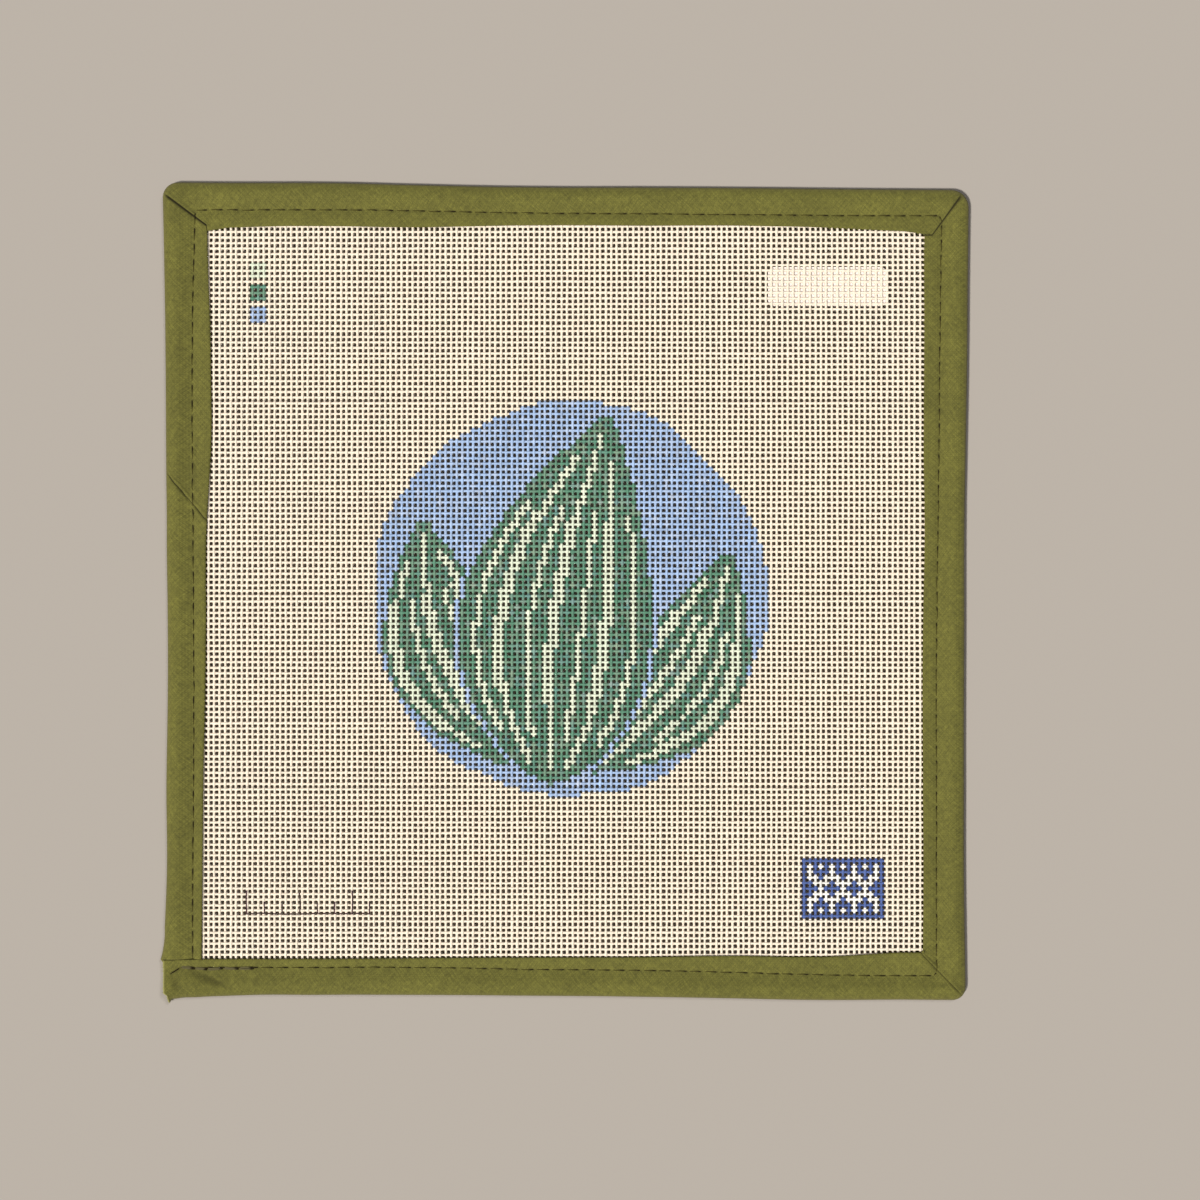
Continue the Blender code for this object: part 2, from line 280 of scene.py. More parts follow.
# Loose fibres along the cut end, and a tuft of them at its tip. A swing is how far their
# headings vary, in radians, and the tuft's own heading is in degrees.
FRAYS = 84
FRAY_ALONG = (-104.6, -95.2)
FRAY_SWING = 0.9
FRAY_LOWEST = 0.4
FRAY_ROOM = 0.3
FRAY_LENGTH = (0.25, 0.95)
FRAY_BOW = 0.5
FRAY_ROOT = 0.1
FRAY_RADIUS = 0.04
FRAY_TAPER = 1.1
FRAY_RINGS = 4
FRAY_SIDES = 4
TIP_FRAYS = 14
TIP = (-101.1, -104.5)
TIP_HEADING = 255
TIP_SWING = 0.35
TIP_HEIGHTS = (0.3, 1.6)

# The tape's cross section. A distance is from the fold along the face.
TAPE_LAYER = 0.45
ROLL_ABOVE = 3.4
ROLL_BELOW = 1.2
ROLL_STEPS = 7
PUFF = 0.12
PUFF_ROOM = (0.8, 0.4)
PUFF_ROUNDING = 0.8
SINK = 0.84
SINK_START = 2.2
MARGIN_RISE = 0.42
GROOVE = 0.08
GROOVE_WIDTH = 0.5
COVER = 0.40
EDGE_ROLL = 0.42
EDGE_CURL = 0.26
UNDER_CURL = 0.3
LIFT_FROM = 1.2
# Points of a section: on the hidden face by their distance from its edge and from the
# stitches, and on the face that shows beside the stitches and between them and the edge.
UNDER_EDGE_POINTS = (0.0, 0.3, 0.9)
UNDER_SEAM_POINTS = (1.1, 0.4, 0.0, -0.4, -1.1)
UNDER_LAST_POINT = 3.0
SEAM_POINTS = (-3.3, -2.3, -1.4, -0.8, -0.4, -0.13, 0.13, 0.4)
SEAM_POINT_ROOM = 0.1
BEND_POINTS = (0.4, 0.75, 1.0)
BEND_ROOM = 0.9
EDGE_POINTS = (0.4, 0.15, 0.0)
# Small waves in the face: depth, size and seed. They fade in from the fold.
UNEVEN = ((0.045, 5.0, 1.0), (0.030, 1.9, 2.0))
UNEVEN_FROM = 2.5

STITCH_PITCH = 3.95
# Dips at the needle holes: depth and width, and the strength and width of the painted shadow in them.
DIP_DEPTH = 0.15
DIP_WIDTH = 0.34
DIP_SHADOW = (0.62, 0.20)
# Where the painted shade of the mitre, join and lap lines fades in, by distance from the fold.
SHADE_LINE_FROM = (0.4, 0.9)
STATIONS_A_STITCH = 6
STATION_ROOM = 0.3
SAME_PLACE = 0.05
SEAM_ROOM = 2.2

# The line of stitches: its first and last needle hole on each edge, in the order of the sewing. "dark_end"
# is 1 where the far end of each stitch dives into its hole and is darkened by painted shade, and -1 where
# the near end does, and "dark" is that stretch of painted shade as shares of the way to that end.
Seam = namedtuple("Seam", "edge first last dark_end dark")
SEAM = (
    Seam("left", -93.9, 97.6, 1, (0.42, 0.86)),
    Seam("top", -90.7, 95.7, 1, (0.52, 0.84)),
    Seam("right", 94.5, -97.2, -1, (0.58, 0.86)),
    Seam("bottom", 94.3, -85.7, -1, (0.50, 0.84)),
)
# Holes of the last, crooked stitches at the lower left, and of the doubled back
# stitches over them.
SEAM_END = ((-89.5, -95.9), (-92.8, -96.0), (-95.7, -96.0), (-98.2, -95.9), (-100.7, -97.5))
LAST_STITCH = (0, (0.0, 1.0))
BACK_TACK = (
    (-79.4, -96.0),
    (-83.2, -96.15),
    (-87.2, -96.0),
    (-91.2, -96.35),
    (-94.5, -96.1),
    (-98.0, -95.8),
)
BACK_TACK_KIND = (-1, (0.62, 0.98))
BACK_TACK_SPREAD = (-0.17, 0.17)

# Each stitch is a thread, thin where it shows and thick where it dives into its hole, where painted shade
# darkens it. It sways, and its stretch of painted shade varies a little.
STITCH_THIN = 0.095
STITCH_THICK = 0.155
STITCH_GREY = 0.23
STITCH_FROM = 0.02
STITCH_SUNK = 0.12
STITCH_PROUD = 0.07
STITCH_ARCH = 0.4
STITCH_SWAY = 0.06
STITCH_END_JITTER = (-0.06, 0.04)
STITCH_SHADE_JITTER = (-0.06, 0.10)
STITCH_SHADE_RUN = 0.12
STITCH_RINGS = 11
STITCH_SIDES = 6

# Soft creases in the end of the tape: from, to, depth and width. A ridge is below 0.
CREASES = (
    ((-95.6, -96.9), (-85.8, -100.8), 0.42, 0.95),
    ((-93.4, -99.0), (-86.2, -102.0), -0.12, 0.8),
    ((-99.8, -97.6), (-98.9, -102.2), 0.26, 0.85),
    ((-97.0, -98.6), (-92.5, -102.0), -0.16, 1.0),
    ((-91.0, -96.9), (-84.5, -98.6), 0.10, 0.6),
    ((92.5, 95.8), (92.3, 92.4), -0.20, 0.45),
    ((91.6, 95.6), (91.5, 92.6), 0.13, 0.45),
)
# Painted shade in the creases, for each millimetre they sink.
CREASE_SHADE = 1.25
CREASE_ENDS = 0.02

# The tape's cotton, the loose fibres and the thread, with colours in linear light.
TAPE_THREAD = 0.38
WEAVE_TONE = (0.76, 1.24)
WEAVE_DEPTH = 0.05
TWILL_TONE = (0.94, 1.06)
SLUB_TONE = (0.50, 1.50)
SLUB_SHORT = 0.12
SLUB_SIZE = 0.30
TAPE_PATCHES = ((14.0, (0.74, 1.26)), (2.4, (0.82, 1.18)), (0.8, (0.58, 1.42)))
FUZZ = 0.20
FUZZ_SHARE = (0.0, 0.34)
FUZZ_DEPTH = 0.03
PRINT_DEPTH = 0.03
SHEEN = {"Sheen Weight": 0.06, "Sheen Roughness": 0.5}
RIM_WIDTH = 0.55
RIM_SHARE = 0.55
TAPE_COLOUR = (0.107, 0.101, 0.0185, 1.0)
FUZZ_COLOUR = (0.148, 0.142, 0.054, 1.0)
TAPE_RIM_COLOUR = (0.150, 0.133, 0.048, 1.0)
# The colour of the painted shade on the tape, in its dips, along its mitre, join and lap lines and in its
# creases.
TAPE_SHADE_COLOUR = (0.022, 0.019, 0.006, 1.0)
FRAY_COLOUR = (0.330, 0.310, 0.110, 1.0)
STITCH_COLOUR = (0.050, 0.041, 0.008, 1.0)
STITCH_GREY_COLOUR = (0.100, 0.088, 0.038, 1.0)
# The colour of the painted shade at the end of each stitch, where it dives into its hole.
STITCH_SHADE_COLOUR = (0.014, 0.010, 0.003, 1.0)
STITCH_PATCHES = ((0.3, (0.75, 1.25)),)
STITCH_FUZZ = 0.1
STITCH_FUZZ_DEPTH = 0.03

# ---- the label
LABEL_PAPER = 0.15
LABEL_BELOW = 0.20
LABEL_RADIUS = 1.5
LABEL_STEPS = 8
LABEL_COLOUR = (0.745, 0.665, 0.625, 1.0)
LABEL_PATCHES = ((2.0, (0.97, 1.02)),)
LABEL_FUZZ = 0.2
LABEL_FUZZ_DEPTH = 0.02

# ---- the view
VIEW_CENTRE = (9.0, -2.0)
VIEW_WIDTH = 306.2
VIEW_HEIGHT = 600.0
SENSOR = 36.0
FLOOR_SIZE = 60.0
FLOOR_COLOUR = (0.355, 0.322, 0.286, 1.0)
WORLD = {"Color": (1.0, 0.98, 0.96, 1.0), "Strength": 0.10}
# Each light's place, which only gives its direction, its strength, its spread in
# degrees and its colour.
LIGHTS = (
    ("key", (-0.62, -0.51, 1.15), 4.17, 10.0, (1.0, 0.975, 0.94)),
    ("fill", (0.56, 0.54, 1.20), 0.91, 14.0, (0.97, 0.98, 1.0)),
)

# The canvas lies at half the height of the folded tape.
canvas_low, canvas_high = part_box("canvas")
CANVAS_Z = (canvas_low.z + canvas_high.z) / 2 / MM
TAPE_TOP = 2 * CANVAS_Z


# ---- helpers for shapes
def fade(away, reach):
    """1 at no distance, down in a straight line to 0 at the reach."""
    return np.maximum(0.0, 1 - away / reach)


def bell(away, width):
    """1 at no distance, falling off softly over a width to both sides."""
    return np.exp(-((away / width) ** 2))


def hump(away, height, place, width):
    """A soft hump of a height, with its middle at a place."""
    return height * bell(away - place, width)


def part_way(value, start, end):
    """How far a value is on the way from start to end, from 0 to 1."""
    return np.clip((value - start) / (end - start), 0.0, 1.0)


def ease(share):
    """A share from 0 to 1 that starts and ends softly."""
    return share * share * (3 - 2 * share)


# ---- helpers for materials
class Shading:
    """A new material, and short calls for the nodes in it. Sizes are in millimetres."""

    def __init__(self, name, roughness, specular):
        self.material = bpy.data.materials.new(name)
        self.material.use_nodes = True
        self.tree = self.material.node_tree
        self.inputs = self.tree.nodes["Principled BSDF"].inputs
        self.inputs["Roughness"].default_value = roughness
        self.inputs["Specular IOR Level"].default_value = specular

    def feed(self, socket, value):
        """Gives a socket a value, or another node's output."""
        if isinstance(value, bpy.types.NodeSocket):
            self.tree.links.new(value, socket)
        else:
            socket.default_value = value

    def node(self, kind, inputs=None, **settings):
        """A shader node with its inputs and settings."""
        made = self.tree.nodes.new("ShaderNode" + kind)
        for name, value in settings.items():
            setattr(made, name, value)
        for name, value in (inputs or {}).items():
            self.feed(made.inputs[name], value)
        return made

    def surface(self, colour, normal=None):
        """The finished material, with its colour and its bumps."""
        self.feed(self.inputs["Base Color"], colour)
        if normal is not None:
            self.feed(self.inputs["Normal"], normal)
        return self.material

    @cached_property
    def where(self):
        """The place on the object, in metres."""
        return self.node("TexCoord").outputs["Object"]

    def painted(self, name):
        """A colour that the mesh carries."""
        return self.node("Attribute", attribute_name=name).outputs["Color"]

    def axes(self, place):
        return self.node("SeparateXYZ", {0: place}).outputs

    def math(self, operation, first, second=0.0):
        return self.node("Math", {0: first, 1: second}, operation=operation).outputs[0]

    def times(self, first, *others):
        """Values multiplied by one another."""
        for other in others:
            first = self.math("MULTIPLY", first, other)
        return first

    def along(self, direction):
        """How far a place lies along a direction, in metres."""
        inputs = {0: self.where, 1: direction}
        return self.node("VectorMath", inputs, operation="DOT_PRODUCT").outputs["Value"]

    def mix(self, share, first, second, blend="MIX"):
        inputs = {"Fac": share, "Color1": first, "Color2": second}
        return self.node("MixRGB", inputs, blend_type=blend).outputs["Color"]

    def noise(self, size, detail=3.0, roughness=0.55, where=None):
        """Noise whose blobs are about so large."""
        inputs = {"Vector": self.where if where is None else where, "Scale": 1 / (size * MM)}
        inputs |= {"Detail": detail, "Roughness": roughness}
        return self.node("TexNoise", inputs).outputs["Fac"]

    def between(self, value, low, high):
        """A 0 to 1 value carried on to the range from low to high."""
        return self.node("MapRange", {"Value": value, "To Min": low, "To Max": high}).outputs["Result"]

    def patches(self, rows):
        """Noise of each row's size, over its range of tone."""
        return [self.between(self.noise(size), *tones) for size, tones in rows]

    def toned(self, colour, *tones):
        """A colour made darker or lighter by numbers about 1."""
        tone = self.times(*tones)
        grey = self.node("CombineColor", {0: tone, 1: tone, 2: tone}).outputs[0]
        return self.mix(1.0, colour, grey, "MULTIPLY")

    def bump(self, height, depth, below=None):
        """A bump of so many millimetres, over another one."""
        inputs = {"Height": height, "Distance": depth * MM, "Strength": 1.0}
        if below is not None:
            inputs["Normal"] = below
        return self.node("Bump", inputs).outputs["Normal"]


# ---- helpers for meshes
def add_object(name, points, faces, smooth, material):
    """A mesh object from points in millimetres, riding on the body."""
    mesh = bpy.data.meshes.new(name)
    mesh.from_pydata((np.asarray(points) * MM).tolist(), [], [list(face) for face in faces])
    mesh.polygons.foreach_set("use_smooth", np.asarray(smooth, bool))
    mesh.materials.append(material)
    made = bpy.data.objects.new(name, mesh)
    bpy.context.scene.collection.objects.link(made)
    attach(made, BODY)
    return made


def add_colours(mesh, name, colours, domain="POINT"):
    """A colour for each point, or for each corner of the faces, in linear light."""
    layer = mesh.color_attributes.new(name=name, type="FLOAT_COLOR", domain=domain)
    full = np.ones((len(colours), 4), np.float32)
    full[:, :3] = colours
    layer.data.foreach_set("color", full.ravel())


def tube_faces(tubes, rings, sides, first=0):
    """The walls, all quads, and the end caps of many closed tubes, whose rings of points
    stand after one another in the list of points."""
    tube, ring, side = np.mgrid[0:tubes, 0 : rings - 1, 0:sides]
    here = first + (tube * rings + ring) * sides
    after = (side + 1) % sides
    walls = np.stack([here + side, here + sides + side, here + sides + after, here + after], -1)
    start = first + np.arange(tubes)[:, None] * rings * sides
    order = np.arange(sides)
    caps = np.concatenate([start + order, start + (rings - 1) * sides + order[::-1]])
    return walls.reshape(-1, 4), caps


def ring_points(middle, left, radius, sides):
    """One ring of a tube. left points level across the tube's run."""
    turns = 2 * np.pi * np.arange(sides)[:, None] / sides
    return middle + radius * (np.cos(turns) * (*left, 0.0) + np.sin(turns) * (0.0, 0.0, 1.0))


# ---- the chart
def leaf_cells(leaf, along, share):
    """The stitches under points of a leaf, and its width there. along runs from the
    stalk to the tip, and share from -1 at one edge to 1 at the other."""
    base, tip = np.array(leaf.base, float), np.array(leaf.tip, float)
    axis = tip - base
    side = np.array((-axis[1], axis[0]))
    middle = base + along[..., None] * axis + leaf.bend * np.sin(np.pi * along)[..., None] * side
    power = math.log(0.5) / math.log(leaf.fullest)
    width = leaf.half_width * np.sin(np.pi * along**power) ** LEAF_ROUNDING
    spot = middle + (side / np.linalg.norm(side)) * (width * share)[..., None]
    return np.floor(spot + ROUND / 2).astype(int), width


def paint_leaf(chart, leaf):
    """One leaf: a row of ground round it, its green, and pale veins that part and meet."""

    def dab(cells, paint):
        column, row = np.clip(cells, 0, ROUND - 1).T
        chart[column, row] = paint

    along = np.linspace(0.001, 0.999, LEAF_SAMPLES[0])
    share = np.linspace(-1, 1, LEAF_SAMPLES[1])
    cells = leaf_cells(leaf, *np.meshgrid(along, share, indexing="ij"))[0].reshape(-1, 2)
    for step in ((1, 0), (-1, 0), (0, 1), (0, -1)):
        dab(cells + step, BLUE)
    dab(cells, GREEN)
    spacing = 1 / (leaf.veins + VEIN_GAP)
    run = np.linspace(*VEIN_REACH, VEIN_SAMPLES)
    for vein in range(-leaf.veins, leaf.veins + 1):
        cells, width = leaf_cells(leaf, run, np.full_like(run, vein * spacing))
        room = width * spacing > VEIN_ROOM[vein % 2]
        dab(cells[room | (vein == 0)], PALE)
        if vein % 2 == 0:
            broad = room & (run > BROAD_VEIN[0]) & (run < BROAD_VEIN[1])
            dab(cells[broad] - (1, 0), PALE)


def round_chart():
    """The painted round as a square of paint codes, first its column and then its row."""
    chart = np.full((ROUND, ROUND), BLUE)
    for leaf in LEAVES:
        paint_leaf(chart, leaf)
    column, row = np.mgrid[0:ROUND, 0:ROUND] + 0.5 - ROUND / 2
    angle = np.arctan2(row, column)
    uneven = sum(size * np.sin(count * angle + phase) for size, count, phase in ROUND_WAVES)
    chart[np.hypot(column, row) > ROUND / 2 - ROUND_TRIM + uneven] = BARE
    return chart


def block_chart():
    """A dark blue block with a white chain of diamonds between two rows of dots."""
    column, row = np.mgrid[0 : BLOCK_SIZE[0], 0 : BLOCK_SIZE[1]]
    across, up = column - BLOCK_SIZE[0] // 2, abs(row - BLOCK_SIZE[1] // 2)
    zigzag = abs((across + DIAMOND) % (2 * DIAMOND) - DIAMOND)
    chain = (up >= zigzag) & (up <= zigzag + 1)
    dots = (up == DOT_ROW) & (across % 2 == 0)
    chart = np.full(BLOCK_SIZE, DARK_BLUE)
    chart[(chain | dots) & (abs(across) <= DIAMONDS_REACH)] = WHITE
    return chart


def whole_chart(first, shape):
    """Paint codes for every crossing of the canvas. first is the lower left crossing."""
    chart = np.full(shape, BARE)

    def lay(part, corner):
        column, row = corner[0] - first[0], corner[1] - first[1]
        chart[column : column + part.shape[0], row : row + part.shape[1]] = part

    lay(round_chart(), (-ROUND // 2, -ROUND // 2))
    for paint, row in zip((PALE, GREEN, BLUE), KEY_ROWS):
        lay(np.full((3, 3), paint), (KEY_COLUMN - 1, row - 1))
    lay(block_chart(), BLOCK_FIRST)
    return chart


# ---- canvas
def smooth_noise(rng, shape, reach):
    """Random values from about -1 to 1 that change slowly along the last axis."""
    knots = max(3, shape[-1] // reach + 3)
    rough = rng.uniform(-1, 1, (*shape[:-1], knots))
    places = np.linspace(0, knots - 1.001, shape[-1])
    left = np.floor(places).astype(int)
    share = ease(places - left)
    return rough[..., left] * (1 - share) + rough[..., left + 1] * share


def halfway(values):
    """Values at each crossing, midway between them, and half a step past both ends."""
    out = np.empty((values.shape[0], 2 * values.shape[1] + 1, *values.shape[2:]))
    out[:, 1::2] = values
    out[:, 2:-1:2] = (values[:, 1:] + values[:, :-1]) / 2
    out[:, 0] = 1.5 * values[:, 0] - 0.5 * values[:, 1]
    out[:, -1] = 1.5 * values[:, -1] - 0.5 * values[:, -2]
    return out


def pen_marks(look):
    """Where the pen has marked the upper side of the threads, as 0 or 1."""
    inputs = {"Vector": look.where, "Scale": 1 / (PEN_SHAKE_SIZE * MM), "Detail": 1.0}
    shake = look.node("TexNoise", inputs).outputs["Color"]
    inputs = {0: shake, 1: (PEN_SHAKE * MM,) * 3, 2: look.where}
    moved = look.axes(look.node("VectorMath", inputs, operation="MULTIPLY_ADD").outputs[0])
    x, y = (look.math("SUBTRACT", moved[k], (PEN_START[k] + PEN_SHAKE / 2) * MM) for k in (0, 1))
    half = PEN_HALF_WIDTH * MM
    drawn = look.math("LESS_THAN", look.math("ABSOLUTE", y), half)
    for spacing, height in PEN_TICKS:
        tick = look.math("LESS_THAN", look.math("PINGPONG", x, spacing / 2 * MM), half)
        tick = look.times(tick, look.math("LESS_THAN", y, height * MM))
        drawn = look.math("MAXIMUM", drawn, tick)
    for value, low in ((x, -half), (y, -half), (look.axes(look.where)[2], CANVAS_Z * MM)):
        drawn = look.times(drawn, look.math("GREATER_THAN", value, low))
    return look.times(drawn, look.math("LESS_THAN", x, PEN_LENGTH * MM + half))


def canvas_material():
    """Sized cotton threads: the paint of each crossing, a little patchy, with fine fibres."""
    look = Shading("canvas_thread", roughness=0.62, specular=0.35)
    toned = look.toned(look.painted("paint"), *look.patches(CANVAS_PATCHES))
    colour = look.mix(pen_marks(look), toned, PEN_COLOUR)
    turns = look.times(look.along(TWIST_LEAN), 2 * math.pi / (TWIST * MM))
    wander = look.between(look.noise(TWIST_WANDER_SIZE), 0.0, TWIST_WANDER)
    twist = look.between(look.math("SINE", look.math("ADD", turns, wander)), 0.5, 1.0)
    fuzz = look.bump(look.noise(CANVAS_FUZZ, 4.0), CANVAS_FUZZ_DEPTH)
    return look.surface(colour, look.bump(twist, TWIST_DEPTH, fuzz))


def paint_colours(rng, chart):
    """The colour at each crossing, with patches where the paint is thin."""
    colours = PAINT[chart]
    tinge = np.clip(rng.normal(0, GREEN_TINGE, chart.shape), 0, 1) * (chart == GREEN)
    colours = colours + (PAINT[BLUE] - colours) * tinge[..., None]
    thin = np.clip(rng.normal(*THIN_PAINT, chart.shape), 0, THINNEST) * (chart != DARK_BLUE)
    colours = colours + (PAINT[BARE] - colours) * thin[..., None]
    tone = 1 + rng.normal(0, 1, chart.shape) * np.where(chart == BARE, *TONE_JITTER)
    return np.clip(colours * tone[..., None], 0, 1)


def build_canvas():
    """All threads of the canvas, in strips that each hold their own warp and weft."""
    rng = np.random.default_rng(SEED)
    low, high = (np.array(corner)[:2] / MM - ROUND_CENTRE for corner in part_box("canvas"))
    first = np.ceil((low + CANVAS_MARGIN) / PITCH).astype(int)
    stop = np.floor((high - CANVAS_MARGIN) / PITCH).astype(int)
    column, row = np.mgrid[first[0] : stop[0], first[1] : stop[1]]
    shape = column.shape

    x = ROUND_CENTRE[0] + (column + 0.5) * PITCH + rng.normal(0, SPACING_JITTER, (shape[0], 1))
    x += WANDER * smooth_noise(rng, shape, WANDER_REACH) + rng.normal(0, CROSSING_JITTER, shape)
    y = ROUND_CENTRE[1] + (row + 0.5) * PITCH + rng.normal(0, SPACING_JITTER, (1, shape[1]))
    y += WANDER * smooth_noise(rng, shape[::-1], WANDER_REACH).T + rng.normal(0, CROSSING_JITTER, shape)
    sag = [np.sin(place / length + phase) for place, (length, phase) in zip((x, y), SAG_WAVES)]
    middle = CANVAS_Z + SAG * sag[0] * sag[1]
    wave = (WAVE + rng.normal(0, WAVE_JITTER, shape)) * np.where((column + row) % 2 == 0, 1.0, -1.0)

    colours = paint_colours(rng, whole_chart(first, shape))
    material = canvas_material()
    warp = thread_rings(rng, np.stack([x, y, middle - wave], -1), colours, (-1.0, 0.0, 0.0))
    crossings = np.stack([x, y, middle + wave], -1).transpose(1, 0, 2)
    weft = thread_rings(rng, crossings, colours.transpose(1, 0, 2), (0.0, 1.0, 0.0))

    cuts = np.linspace(0, shape[1], CANVAS_STRIPS + 1).round().astype(int)
    for number, (begin, end) in enumerate(pairwise(cuts), start=1):
        runs = [
            (warp[0][:, 2 * begin : 2 * end + 1], warp[1][:, 2 * begin : 2 * end]),
            (weft[0][begin:end], weft[1][begin:end]),
        ]
        strip = canvas_strip(f"canvas_{number}", runs, material)
        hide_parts("canvas")


def thread_rings(rng, crossings, colours, across):
    """The four points of each ring of many threads, one thread a row of crossings, and
    the colours of the four faces that follow it. A crossing's paint ends midway to the
    next. across points to a thread's left, seen along its run."""
    path = halfway(crossings)
    shape = path.shape[:2]
    swell = STEADY_SHARE * rng.normal(0, 1, (shape[0], 1))
    swell = 1 + WIDTH_JITTER * (swell + SWELL_SHARE * smooth_noise(rng, shape, SWELL_REACH))
    pinch = np.where(np.arange(shape[1]) % 2 == 1, 1 + PINCH, 1 - PINCH)
    swell = swell * (1 + RING_JITTER * rng.normal(0, 1, shape))
    wide = (swell * pinch)[..., None] * np.array(across)
    top, foot = THREAD_TOP_WIDTH / 2 * wide, THREAD_WIDTH / 2 * wide
    tall = THREAD_HEIGHT / 2 * np.array((0.0, 0.0, 1.0))
    rings = np.stack([path - top + tall, path + top + tall, path + foot - tall, path - foot - tall], 2)
    tint = np.repeat(colours, 2, axis=1)
    under = tint * UNDERSIDE_PAINT + PAINT[BARE] * (1 - UNDERSIDE_PAINT)
    return rings, np.stack([tint, tint, under, tint], 2)


def canvas_strip(name, runs, material):
    """One strip of canvas from its runs of threads, with a flat map for baking."""
    points, tints, faces, smooth, first = [], [], [], [], 0
    for rings, colours in runs:
        walls, caps = tube_faces(*rings.shape[:3], first)
        faces += [walls, caps]
        smooth += [np.ones(len(walls)), np.zeros(len(caps))]
        points.append(rings.reshape(-1, 3))
        tints += [colours.reshape(-1, 3), np.tile(PAINT[BARE], (len(caps), 1))]
        first += len(points[-1])
    points, faces = np.concatenate(points), np.concatenate(faces)
    strip = add_object(name, points, faces, np.concatenate(smooth), material)
    add_colours(strip.data, "paint", np.repeat(np.concatenate(tints), 4, axis=0), "CORNER")
    plan = points[:, :2]
    plan = (plan - plan.min(0)) / (plan.max(0) - plan.min(0))
    layer = strip.data.uv_layers.new(name="OFBake")
    layer.data.foreach_set("uv", plan[faces.ravel()].ravel())
    return strip


# ---- tape
# A station is one cross section of the tape. fold, top and under are the plan points
# of the fold and of the two inner edges. lift raises the face, and dark is how deep the
# shadow is. A path with a knee bends there, at "bend" of its width. squeeze presses both
# layers together, and cut is how near the cut end it is, from 0 to 1.
STATION = "fold top under width stitch lift dark knee bend squeeze cut"
Station = namedtuple("Station", STATION, defaults=(0.0, None, 1.0, 0.0, 0.0))

# A stitch from begin to end. grey is true for the doubled back stitches.
Run = namedtuple("Run", "begin end dark_end dark grey")


def read_edge(edge, column, along):
    """A column of an edge's table at any place, on a smooth curve through its rows."""
    places = np.array([row.along for row in edge])
    values = np.array([getattr(row, column) for row in edge])
    slopes = np.gradient(values, places)
    along = float(np.clip(along, places[0], places[-1]))
    row = int(np.clip(np.searchsorted(places, along) - 1, 0, len(places) - 2))
    span = places[row + 1] - places[row]
    share = (along - places[row]) / span
    start = values[row] + share * span * slopes[row]
    end = values[row + 1] - (1 - share) * span * slopes[row + 1]
    return float(start + (end - start) * ease(share))


def on_edge(edge, column, along):
    """The plan point of a column: the left and right edges run along Y, the others along X."""
    across = read_edge(edge, column, along)
    return Vector((across, along)) if edge in (LEFT, RIGHT) else Vector((along, across))


def straight_station(edge, along, slant=0.0, lift=0.0):
    """A station square to its edge, or with its inner ends slid apart by slant."""
    plan = [on_edge(edge, "fold", along)]
    plan += [on_edge(edge, "inner", place) for place in (along - slant, along + slant)]
    fold, inner, stitch = (read_edge(edge, column, along) for column in ("fold", "inner", "stitch"))
    return Station(*plan, abs(fold - inner), abs(fold - stitch), lift)


def needle_holes(seam):
    """Even places of the needle along an edge, about a stitch apart."""
    count = max(2, round(abs(seam.last - seam.first) / STITCH_PITCH) + 1)
    return np.linspace(seam.first, seam.last, count)


def seam_points():
    """Plan points of the needle holes in the order of sewing."""
    points = []
    for seam in SEAM:
        points += [on_edge(EDGES[seam.edge], "stitch", along) for along in needle_holes(seam)]
    return np.array([*points, *SEAM_END])


def stitch_runs():
    """Every stitch, from one needle hole to the next."""
    points, kinds = seam_points(), []
    for seam in SEAM:
        kinds += [(seam.dark_end, seam.dark)] * len(needle_holes(seam))
    kinds += [kinds[-1]] * (len(SEAM_END) - 1) + [LAST_STITCH]
    runs = [Run(begin, end, *kind, False) for begin, end, kind in zip(points[:-1], points[1:], kinds[1:])]
    for spread in BACK_TACK_SPREAD:
        holes = np.array(BACK_TACK) + (0.0, spread)
        runs += [Run(begin, end, *BACK_TACK_KIND, True) for begin, end in pairwise(holes)]
    return runs


def shade_stretch(run):
    """The plan points between which a stitch is pulled down into the tape and darkened by painted shade."""
    shares = run.dark if run.dark_end >= 0 else (1 - run.dark[1], 1 - run.dark[0])
    return [run.begin + (run.end - run.begin) * share for share in shares]


def places_along(name, start, end):
    """Places for stations from start to end, evenly between the needle holes."""
    low, high = min(start, end), max(start, end)
    holes = [*needle_holes(next(seam for seam in SEAM if seam.edge == name))]
    if name == "bottom":
        holes += [point[0] for point in SEAM_END]
    holes.sort()
    places = []
    for before, after in zip([low, *holes], [*holes, high]):
        if after - before > SAME_PLACE:
            steps = max(1, round((after - before) / STITCH_PITCH * STATIONS_A_STITCH))
            places += [*np.linspace(before, after, steps + 1)[:-1]]
    ordered = [low]
    for place in places:
        if ordered[-1] + STATION_ROOM < place < high - STATION_ROOM:
            ordered.append(float(place))
    ordered.append(high)
    return ordered if start < end else ordered[::-1]


def length_of(corners):
    """The whole length of a line through corners."""
    return sum((after - before).length for before, after in pairwise(corners))


def polyline(corners, reach):
    """The point so far along a line through corners."""
    for before, after in pairwise(corners):
        length = (after - before).length
        if reach <= length or after is corners[-1]:
            return before.lerp(after, min(1.0, reach / length))
        reach -= length


